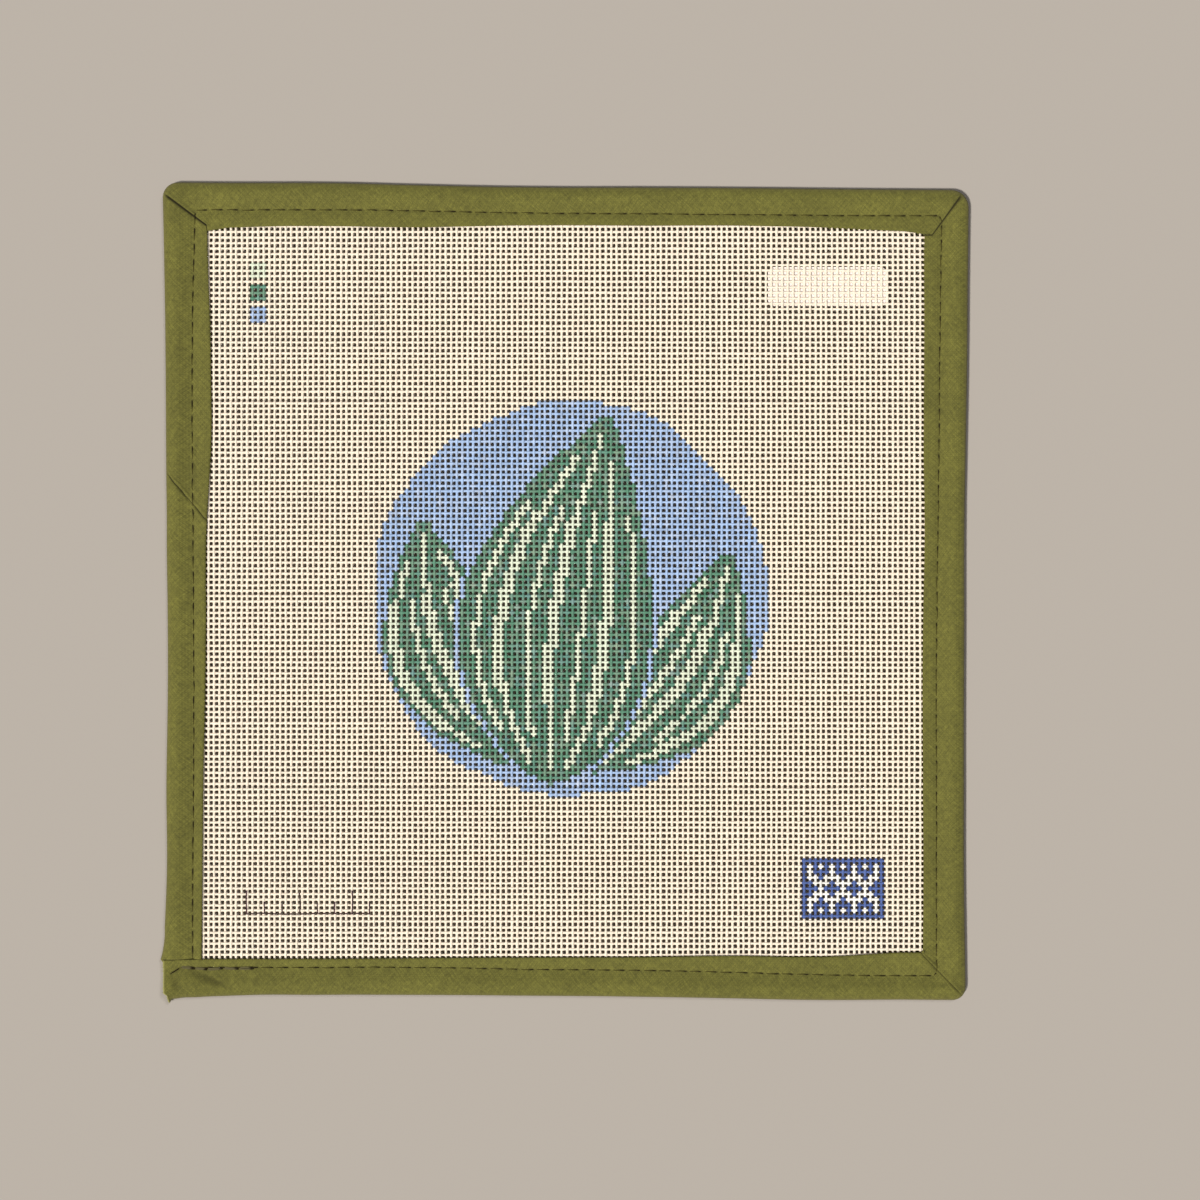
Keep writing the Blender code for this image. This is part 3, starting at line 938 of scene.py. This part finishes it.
def corner_stations(before, after, turn_in, turn_out, corner):
    """The fan of stations round a mitred corner. turn_in and turn_out are the two
    directions of travel. Each station bends at its knee, which at the mitre is its root."""
    lead_in = straight_station(before, (corner.inner.dot(turn_in) - CORNER_LEAD) * sum(turn_in))
    lead_out = straight_station(after, (corner.inner.dot(turn_out) + CORNER_LEAD) * sum(turn_out))
    tip = turn_out * on_edge(before, "fold", before[-1 if sum(turn_in) > 0 else 0].along).dot(turn_out)
    tip += turn_in * on_edge(after, "fold", after[0 if sum(turn_out) > 0 else -1].along).dot(turn_in)
    centre = tip + (turn_out - turn_in) * corner.radius

    def on_arc(degrees):
        angle = math.radians(degrees)
        return centre + (turn_in * math.sin(angle) - turn_out * math.cos(angle)) * corner.radius

    mitre = on_arc(corner.turn)
    bend = (mitre - corner.root).length
    bend /= bend + (corner.root - corner.inner).length
    jog = corner.root - mitre.lerp(corner.inner, bend)
    angles = np.linspace(0, 90, ARC_STEPS + 1)
    backwards = [mitre, *(on_arc(angle) for angle in angles[::-1] if angle < corner.turn), lead_in.fold]
    forwards = [mitre, *(on_arc(angle) for angle in angles if angle > corner.turn), lead_out.fold]

    def fan(lead, outline, arm):
        reach, inner_reach = length_of(outline), (lead.top - corner.inner).length
        near = MITRE_OFFSETS[-1]
        others = np.linspace(near + FAN_GAP, reach, round(reach / FAN_SPACING))
        stations = []
        for away in (*MITRE_OFFSETS, *others):
            fold = polyline(outline, away)
            spread = INNER_SPREAD * min(away, near)
            spread += max(0.0, away - near) / (reach - near) * (inner_reach - INNER_SPREAD * near)
            inner = corner.inner.lerp(lead.top, spread / inner_reach)
            knee = fold.lerp(inner, bend) + jog * (1 - away / reach) ** 2
            stations.append(mitred(corner, lead, (fold, knee, inner), bend, away * arm))
        return stations

    middle = mitred(corner, lead_in, (mitre, corner.root, corner.inner), bend, 0.0)
    return [*fan(lead_in, backwards, -1)[::-1], middle, *fan(lead_out, forwards, 1)]


def mitred(corner, lead, path, bend, away):
    """A station of the fan round a corner, on a path that bends once on its way inwards."""
    fold, knee, inner = path
    lift, dark = mitre_lift(away * corner.upper_arm, corner)
    stitch = seam_distance(path, bend, lead.width)
    return Station(fold, inner, inner, lead.width, stitch, lift, dark, knee, bend)


def seam_distance(path, bend, width):
    """How far from the fold the line of stitches crosses a station's path."""
    points = seam_points()
    for start, end, done, span in ((path[0], path[1], 0.0, bend), (path[1], path[2], bend, 1 - bend)):
        for before, after in pairwise(points):
            crossing = geometry.intersect_line_line_2d(start, end, Vector(before), Vector(after))
            if crossing is not None:
                share = done + span * (crossing - start).length / (end - start).length
                return min(share * width, width - SEAM_ROOM)
    return width - SEAM_ROOM


def mitre_lift(beyond, corner):
    """The face's height and its painted shade beside the mitre. beyond is positive on the upper arm."""
    if beyond > 0:
        rise = min(1.0, beyond / MITRE_RISE) ** 0.5 * fade(beyond, MITRE_FADE)
        dark = min(1.0, corner.shade) * hump(beyond, *MITRE_CREST_SHADE)
        return corner.step * (MITRE_STEP * rise + hump(beyond, *MITRE_LIP)), dark
    sink = MITRE_TUCK * math.exp(beyond / MITRE_TUCK_REACH) + MITRE_SINK * fade(-beyond, MITRE_SINK_REACH)
    return -corner.step * sink, min(1.0, corner.shade * hump(beyond, *MITRE_SHADOW))


def join_stations(begin, end, ridge):
    """Stations of the left edge from the slanted join at begin, where the face rolls
    down, to end. The join's slant fades out along the strip."""
    side = 1 if end > begin else -1
    places = [begin, *(begin + side * step for step in JOIN_STATIONS)]
    places += [place for place in places_along("left", begin, end) if abs(place - begin) > JOIN_CLEAR]
    stations = []
    for along in places:
        away = abs(along - begin)
        slant = JOIN_SLANT * ease(fade(abs(along - JOIN_ALONG), JOIN_REACH))
        lift = hump(away, *ridge) - JOIN_ROLL_DEPTH * fade(away, JOIN_ROLL) ** 2
        # Painted shade along the join.
        dark = JOIN_SHADE[0] * fade(away, JOIN_SHADE[1])
        stations.append(straight_station(LEFT, along, slant, lift)._replace(dark=dark))
    return stations


def straight_run(name, start, end):
    """Stations of an edge between those of the corners at its start and end."""
    return [straight_station(EDGES[name], along) for along in places_along(name, start, end)[1:-1]]


def main_route():
    """Stations of the long strip, from the join clockwise to its cut end."""
    up, right, down, left = Vector((0, 1)), Vector((1, 0)), Vector((0, -1)), Vector((-1, 0))
    lead = CORNER_LEAD
    stations = join_stations(JOIN_ALONG + JOIN_GAP / 2, UPPER_LEFT.inner.y - lead, MAIN_RIDGE)[:-1]
    stations += corner_stations(LEFT, TOP, up, right, UPPER_LEFT)
    stations += straight_run("top", UPPER_LEFT.inner.x + lead, UPPER_RIGHT.inner.x - lead)
    stations += corner_stations(TOP, RIGHT, right, down, UPPER_RIGHT)
    stations += straight_run("right", UPPER_RIGHT.inner.y - lead, LOWER_RIGHT.inner.y + lead)
    stations += corner_stations(RIGHT, BOTTOM, down, left, LOWER_RIGHT)
    for along in places_along("bottom", LOWER_RIGHT.inner.x - lead, CUT_FROM)[1:]:
        raised = LAP_STEP * fade(along - CUT_FROM, LAP_FADE)
        stations.append(straight_station(BOTTOM, along, lift=raised))
    for share in CUT_STEPS:
        end = straight_station(BOTTOM, CUT_FROM + share * (CUT_TO - CUT_FROM), lift=LAP_STEP)
        stations.append(end._replace(cut=share))
    return stations


def start_route():
    """Stations of the short strip, from the join down, and on into the fold of the other."""
    near = START_END + START_SINK[0][0] + START_ROOM
    stations = join_stations(JOIN_ALONG - JOIN_GAP / 2, START_END, START_RIDGE)
    stations = [station for station in stations if station.fold.y > near]
    for above, sink in START_SINK:
        station = straight_station(LEFT, START_END + above, lift=-sink)
        # Painted shadow along the lap line, where the short strip's end goes under the long one.
        stations.append(station._replace(dark=fade(above, START_ROOM)))
    last = stations[-1]
    for share in np.arange(1, START_TUCK_STEPS + 1) / START_TUCK_STEPS:
        slide = Vector((START_SLIDE * min(1.0, START_SLIDE_PACE * share), -START_TUCK * share))
        tucked = last._replace(fold=last.fold + slide, top=last.top + slide, under=last.under + slide)
        squeeze = START_SQUEEZE * min(1.0, START_SQUEEZE_PACE * share)
        stations.append(tucked._replace(squeeze=squeeze))
    return stations[::-1]


def face_height(far, width, stitch):
    """Height of the face that shows, so far from the fold: a soft roll, a puffed band,
    a sunk line of stitches and a margin whose edge turns under."""
    height = CANVAS_Z + (TAPE_TOP - CANVAS_Z) * np.sqrt(1 - fade(far, ROLL_ABOVE) ** 2)
    puff = np.sin(np.pi * part_way(far, PUFF_ROOM[0], stitch - PUFF_ROOM[1]))
    height += PUFF * puff**PUFF_ROUNDING
    height -= SINK * ease(part_way(far, SINK_START, stitch))
    height -= hump(far, GROOVE, stitch, GROOVE_WIDTH)
    past = part_way(far, stitch, width)
    height += MARGIN_RISE * past * (2 - past)
    return height - EDGE_CURL * fade(width - far, EDGE_ROLL) ** 2


def section(station):
    """The tape's outer surface at one station: for each point its place, how far it is
    from the fold, and 1 on the face that shows. The points run from the hidden inner
    edge under the canvas, round the fold, to the inner edge that shows."""
    width, stitch = station.width, station.stitch
    under = [width - room for room in UNDER_EDGE_POINTS]
    under = np.array([*under, *(stitch + beside for beside in UNDER_SEAM_POINTS), UNDER_LAST_POINT])
    under_height = hump(under, GROOVE, stitch, GROOVE_WIDTH)
    under_height += EDGE_CURL * fade(width - under, UNDER_CURL) ** 2
    turns = np.radians(90 * np.arange(1, ROLL_STEPS + 1) / ROLL_STEPS)
    roll = turns[:-1]

    bend = min(station.bend * width, width - BEND_ROOM)
    face = [*ROLL_ABOVE * (1 - np.cos(turns))]
    for place, beside in enumerate(SEAM_POINTS, start=1):
        face.append(max(stitch + beside, ROLL_ABOVE + SEAM_POINT_ROOM * place))
    face += [(1 - share) * stitch + share * bend for share in BEND_POINTS]
    face += [(bend + width - EDGE_POINTS[0]) / 2, *(width - room for room in EDGE_POINTS)]
    face = np.array(face)
    face_lift = station.lift * np.minimum(1.0, face / LIFT_FROM)

    far = np.concatenate([under, ROLL_BELOW * (1 - np.sin(roll)), [0.0], face])
    height = np.concatenate([
        under_height,
        CANVAS_Z * (1 - np.cos(roll)),
        [CANVAS_Z],
        face_height(face, width, stitch) + face_lift,
    ])
    height = CANVAS_Z + (height - CANVAS_Z) * (1 - station.squeeze)
    top = np.arange(len(far)) >= len(far) - len(face)

    def walk(inner):
        path = [(0.0, *station.fold), (1.0, *inner)]
        if station.knee is not None:
            path.insert(1, (station.bend, *station.knee))
        shares, xs, ys = zip(*path)
        return np.stack([np.interp(far / width, shares, xs), np.interp(far / width, shares, ys)], -1)

    plan = np.where(top[:, None], walk(station.top), walk(station.under))
    if station.cut:
        ends = np.interp(plan[:, 1], *zip(*CUT_EDGE))
        plan[:, 0] = CUT_FROM + station.cut * (ends - CUT_FROM)
    return np.column_stack([plan, height, far, top])


def tape_material():
    """Smooth cotton cut on the bias: threads at 45 degrees, a paler fold, and painted shade at the needle
    holes, the mitres, the join, the lap and the creases.
    """
    look = Shading("cotton_tape", roughness=0.85, specular=0.12)
    rim, dark, worn = look.node("SeparateColor", {"Color": look.painted("marks_and_shade")}).outputs

    diagonals = [look.along((0.707, side * 0.707, 0.7)) for side in (1, -1)]
    ribs = [look.math("SINE", look.times(line, math.pi / (TAPE_THREAD * MM))) for line in diagonals]
    weave = look.between(look.times(*ribs), 0.5, 1.0)
    twill = look.between(ribs[0], 0.5, 1.0)
    tones = [look.between(weave, *WEAVE_TONE), look.between(twill, *TWILL_TONE)]
    for along, other in (diagonals, diagonals[::-1]):
        drawn = look.node("CombineXYZ", {0: look.times(along, SLUB_SHORT), 1: other}).outputs[0]
        tones.append(look.between(look.noise(SLUB_SIZE, 1.0, where=drawn), *SLUB_TONE))
    colour = look.toned(TAPE_COLOUR, *tones, *look.patches(TAPE_PATCHES))
    fuzz = look.noise(FUZZ, 2.0)
    colour = look.mix(look.between(fuzz, *FUZZ_SHARE), colour, FUZZ_COLOUR)
    colour = look.mix(look.times(rim, RIM_SHARE), colour, TAPE_RIM_COLOUR)
    colour = look.mix(worn, colour, FRAY_COLOUR)
    # Painted shade of the needle dips, the mitre, join and lap lines and the creases.
    colour = look.mix(dark, colour, TAPE_SHADE_COLOUR)

    for name, value in SHEEN.items():
        look.inputs[name].default_value = value
    bumps = look.bump(weave, WEAVE_DEPTH, look.bump(fuzz, FUZZ_DEPTH))
    return look.surface(colour, look.bump(canvas_print(look), PRINT_DEPTH, bumps))


def canvas_print(look):
    """The canvas's threads, which show faintly through the tape that is pressed on them."""
    turn = 2 * math.pi / (PITCH * MM)
    waves = [look.math("SINE", look.times(place, turn)) for place in look.axes(look.where)[:2]]
    return look.between(look.times(*waves), 0.5, 1.0)


def from_stretch(plan, start, end):
    """How far each plan point is from a straight stretch, and how far along that it is."""
    start, run = np.array(start), np.array(end) - np.array(start)
    share = np.clip((plan - start) @ run / (run @ run), 0, 1)
    return np.hypot(*(plan - start - share[:, None] * run).T), share


def crease(plan, start, end, depth, width):
    """How far a soft crease from start to end lowers each plan point."""
    away, share = from_stretch(plan, start, end)
    share = np.clip(share, CREASE_ENDS, 1 - CREASE_ENDS)
    return depth * np.sin(np.pi * share) ** 0.5 * bell(away, width)


def uneven_height(x, y):
    """Small waves in the tape's face at a plan point."""
    return sum(depth * noise.noise(Vector((x / size, y / size, seed))) for depth, size, seed in UNEVEN)


def build_strip(name, stations, runs, material):
    """One strip of tape: its outer surface with dips and puckers, thickened inwards."""
    rows = np.array([section(station) for station in stations])
    points = rows[..., :3].copy()
    far, top = rows[..., 3], rows[..., 4]
    plan = points[..., :2].reshape(-1, 2)
    nearest = np.min([from_stretch(plan, *shade_stretch(run))[0] for run in runs], axis=0).reshape(far.shape)
    points[..., 2] -= DIP_DEPTH * bell(nearest, DIP_WIDTH) * top
    creases = [crease(plan, *row).reshape(far.shape) * top for row in CREASES]
    points[..., 2] -= sum(creases)
    flat = np.clip(far / UNEVEN_FROM, 0, 1) * top
    for index in zip(*np.nonzero(flat)):
        points[index][2] += flat[index] * uneven_height(*points[index][:2])
    lowest = np.where((top > 0) & (far > ROLL_ABOVE), CANVAS_Z + COVER, 0.0)
    points[..., 2] = np.maximum(points[..., 2], lowest)
    away, share = from_stretch(plan, *JOIN_LINE)
    turns = 2 * np.pi * share * math.dist(*JOIN_LINE)
    waver = sum(size * np.sin(turns / wave + phase) for size, wave, phase in JOIN_WAVER)
    points[..., 1] += (waver * bell(away, WAVER_REACH)).reshape(far.shape)

    count, width = far.shape
    row, column = np.mgrid[0 : count - 1, 0 : width - 1]
    corner = row * width + column
    faces = np.stack([corner, corner + 1, corner + width + 1, corner + width], -1).reshape(-1, 4)
    strip = add_object(name, points.reshape(-1, 3), faces, np.ones(len(faces)), material)
    thicken = strip.modifiers.new("tape_thickness", "SOLIDIFY")
    thicken.thickness = TAPE_LAYER * MM
    thicken.offset = -1.0

    rim = bell(far, RIM_WIDTH)
    # Painted shade: in the needle dips, along the mitre, join and lap lines, and in the creases.
    dips = DIP_SHADOW[0] * bell(nearest, DIP_SHADOW[1]) * top
    lines = np.array([[station.dark] for station in stations]) * top * part_way(far, *SHADE_LINE_FROM)
    dark = np.max([dips, lines, *(CREASE_SHADE * lowered for lowered in creases)], axis=0)
    worn = np.interp([[station.cut] for station in stations], *CUT_WORN) * np.ones_like(far)
    add_colours(strip.data, "marks_and_shade", np.stack([rim, dark, worn], -1).reshape(-1, 3))
    return strip


# ---- sewing
def build_stitches(runs, strips, material):
    """The machine stitches: a thread from each hole to the next, which dives into the tape at one end,
    darkened there by painted shade, and the thicker grey back stitches. They lie on the strips."""
    rng = np.random.default_rng(SEED + 1)
    points, faces = [], []
    for strip in strips:
        faces += [[len(points) + corner for corner in face.vertices] for face in strip.data.polygons]
        points += [vertex.co / MM for vertex in strip.data.vertices]
    surface = BVHTree.FromPolygons(points, faces)
    tubes, tints = [], []
    for run in runs:
        length = run.end - run.begin
        along = length / np.linalg.norm(length)
        left = np.array((-along[1], along[0]))
        sway = rng.normal(0, STITCH_SWAY)
        reach_to = run.dark[1] + rng.uniform(*STITCH_END_JITTER)
        shade_from = run.dark[0] + rng.uniform(*STITCH_SHADE_JITTER)
        for share in np.linspace(0, 1, STITCH_RINGS):
            spot = STITCH_FROM + (reach_to - STITCH_FROM) * (1 - share if run.dark_end < 0 else share)
            plan = run.begin + length * (1 - spot if run.dark_end < 0 else spot)
            arch = math.sin(math.pi * share)
            plan = plan + left * sway * arch
            # Painted shade where the stitch dives into its hole; the thread also thickens there.
            tint = part_way(spot, shade_from, shade_from + STITCH_SHADE_RUN)
            radius = STITCH_GREY if run.grey else STITCH_THIN + (STITCH_THICK - STITCH_THIN) * tint
            height = surface.ray_cast(Vector((*plan, 99.0)), Vector((0, 0, -1)))[0].z
            height += (STITCH_SUNK + STITCH_PROUD) * arch**STITCH_ARCH - STITCH_SUNK
            tubes.append(ring_points((*plan, height), left, radius, STITCH_SIDES))
            tints += [(tint, run.grey, 0.0)] * STITCH_SIDES
    walls, caps = tube_faces(len(runs), STITCH_RINGS, STITCH_SIDES)
    smooth = [True] * len(walls) + [False] * len(caps)
    faces = [*walls.tolist(), *caps.tolist()]
    made = add_object("stitches", np.concatenate(tubes), faces, smooth, material)
    add_colours(made.data, "marks_and_shade", np.array(tints))


def build_frays():
    """Loose fibres along the cut end of the tape, and a tuft at its tip."""
    rng = np.random.default_rng(SEED + 2)
    ends = []
    for y in rng.uniform(*FRAY_ALONG, FRAYS):
        heading = math.pi + rng.uniform(-FRAY_SWING, FRAY_SWING)
        height = rng.uniform(FRAY_LOWEST, TAPE_TOP - FRAY_ROOM)
        ends.append((np.interp(y, *zip(*CUT_EDGE)), y, heading, height))
    for _ in range(TIP_FRAYS):
        heading = math.radians(TIP_HEADING) + rng.uniform(-TIP_SWING, TIP_SWING)
        ends.append((*TIP, heading, rng.uniform(*TIP_HEIGHTS)))
    tubes = []
    for x, y, heading, height in ends:
        length, bow = rng.uniform(*FRAY_LENGTH), rng.uniform(-FRAY_BOW, FRAY_BOW)
        for share in np.linspace(0, 1, FRAY_RINGS):
            run = np.array((math.cos(heading + bow * share), math.sin(heading + bow * share)))
            middle = (*((x, y) + run * (length * share - FRAY_ROOT)), height)
            radius = FRAY_RADIUS * (FRAY_TAPER - share)
            tubes.append(ring_points(middle, (-run[1], run[0]), radius, FRAY_SIDES))
    faces = np.concatenate(tube_faces(len(ends), FRAY_RINGS, FRAY_SIDES))
    material = Shading("cotton_fibres", roughness=0.9, specular=0.1).surface(FRAY_COLOUR)
    add_object("frays", np.concatenate(tubes), faces, np.ones(len(faces)), material)


def stitch_material():
    """Dull dark olive sewing thread, grey for the back stitches, with painted shade where it dives into the
    tape.
    """
    look = Shading("sewing_thread", roughness=0.8, specular=0.12)
    dark, grey, _ = look.node("SeparateColor", {"Color": look.painted("marks_and_shade")}).outputs
    colour = look.toned(STITCH_COLOUR, *look.patches(STITCH_PATCHES))
    colour = look.mix(grey, colour, STITCH_GREY_COLOUR)
    # Painted shade at the end where the stitch dives into the tape.
    colour = look.mix(dark, colour, STITCH_SHADE_COLOUR)
    return look.surface(colour, look.bump(look.noise(STITCH_FUZZ), STITCH_FUZZ_DEPTH))


# ---- label
def label_material():
    """Plain uncoated paper."""
    look = Shading("label_paper", roughness=0.7, specular=0.2)
    colour = look.toned(LABEL_COLOUR, *look.patches(LABEL_PATCHES))
    return look.surface(colour, look.bump(look.noise(LABEL_FUZZ), LABEL_FUZZ_DEPTH))


def build_label():
    """The sticker: thin paper with rounded corners, stuck to the back of the threads."""
    low, high = (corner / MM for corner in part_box("back_label"))
    centre, half = (low + high) / 2, (high - low) / 2
    ring = []
    for quarter, (side_x, side_y) in enumerate(((1, 1), (-1, 1), (-1, -1), (1, -1))):
        for step in range(LABEL_STEPS + 1):
            angle = math.radians(90 * (quarter + step / LABEL_STEPS))
            x = centre.x + side_x * (half.x - LABEL_RADIUS) + LABEL_RADIUS * math.cos(angle)
            y = centre.y + side_y * (half.y - LABEL_RADIUS) + LABEL_RADIUS * math.sin(angle)
            ring.append((x, y))
    count = len(ring)
    top = CANVAS_Z - LABEL_BELOW
    points = [(x, y, z) for z in (top - LABEL_PAPER, top) for x, y in ring]
    sides = [(k, (k + 1) % count, count + (k + 1) % count, count + k) for k in range(count)]
    faces = [tuple(reversed(range(count))), tuple(range(count, 2 * count)), *sides]
    made = add_object("label", points, faces, [False] * len(faces), label_material())
    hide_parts("back_label")


# ---- stage
def build_stage():
    """A plain pale floor, soft studio light and the camera straight above."""
    scene = bpy.context.scene
    bpy.ops.mesh.primitive_plane_add(size=FLOOR_SIZE, location=(0, 0, 0))
    floor = bpy.context.object
    floor.name = "floor"
    floor.data.materials.append(Shading("floor", roughness=0.9, specular=0.1).surface(FLOOR_COLOUR))

    for name, place, strength, spread, colour in LIGHTS:
        light = bpy.data.lights.new(name, "SUN")
        light.energy = strength
        light.angle = math.radians(spread)
        light.color = colour
        lamp = bpy.data.objects.new(name, light)
        lamp.location = place
        lamp.rotation_euler = Vector(place).to_track_quat("Z", "Y").to_euler()
        scene.collection.objects.link(lamp)

    world = bpy.data.worlds.new("studio")
    world.use_nodes = True
    for name, value in WORLD.items():
        world.node_tree.nodes["Background"].inputs[name].default_value = value
    scene.world = world

    lens = bpy.data.cameras.new("camera")
    lens.sensor_width = SENSOR
    lens.lens = SENSOR * VIEW_HEIGHT / VIEW_WIDTH
    camera = bpy.data.objects.new("camera", lens)
    camera.location = Vector((*VIEW_CENTRE, VIEW_HEIGHT + TAPE_TOP)) * MM
    scene.collection.objects.link(camera)
    scene.camera = camera
    scene.view_settings.view_transform = "Standard"


# ---- everything
build_stage()
build_canvas()
tape = tape_material()
runs = stitch_runs()
start = build_strip("tape_start", start_route(), runs, tape)
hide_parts("binding_start")
main = build_strip("tape_main", main_route(), runs, tape)
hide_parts("binding_main")
build_stitches(runs, (start, main), stitch_material())
build_frays()
build_label()

bpy.context.view_layer.update()
